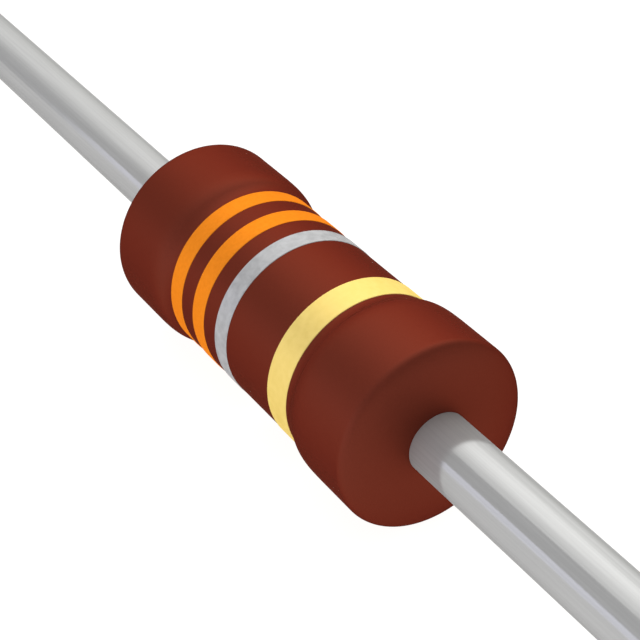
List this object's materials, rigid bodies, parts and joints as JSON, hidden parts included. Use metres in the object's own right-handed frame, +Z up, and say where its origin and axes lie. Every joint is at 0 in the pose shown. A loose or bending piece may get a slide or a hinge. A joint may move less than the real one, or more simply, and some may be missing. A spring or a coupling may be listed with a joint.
{
  "type": "axial resistor",
  "caption": "Axial film resistor with a dog-bone lacquered body, colour bands and long straight wire leads.",
  "frame": {"origin": "middle of the body, on the axis of the body and leads", "axes": "+X along the axis, towards the end with the gold tolerance band; +Z up"},
  "size_m": [0.0618, 0.0024, 0.0024],
  "materials": {
    "ceramic": "matt fired alumina",
    "film": "thin sputtered metal film",
    "cap_steel": "drawn steel, tin plated",
    "tinned_copper": "drawn copper wire with a satin tin coat",
    "lacquer": "red-brown silicone lacquer, semi-matt",
    "orange_paint": "printed orange paint",
    "silver_paint": "printed silver metallic paint",
    "gold_paint": "printed gold metallic paint"
  },
  "bodies": {
    "root": {"ceramic_rod": "ceramic", "resistive_film": "film", "end_cap_left": "cap_steel", "end_cap_right": "cap_steel", "lead_left": "tinned_copper", "lead_right": "tinned_copper", "lacquer_coat": "lacquer", "band_1_orange": "orange_paint", "band_2_orange": "orange_paint", "band_3_silver": "silver_paint", "band_4_gold": "gold_paint"}
  },
  "joints": []
}
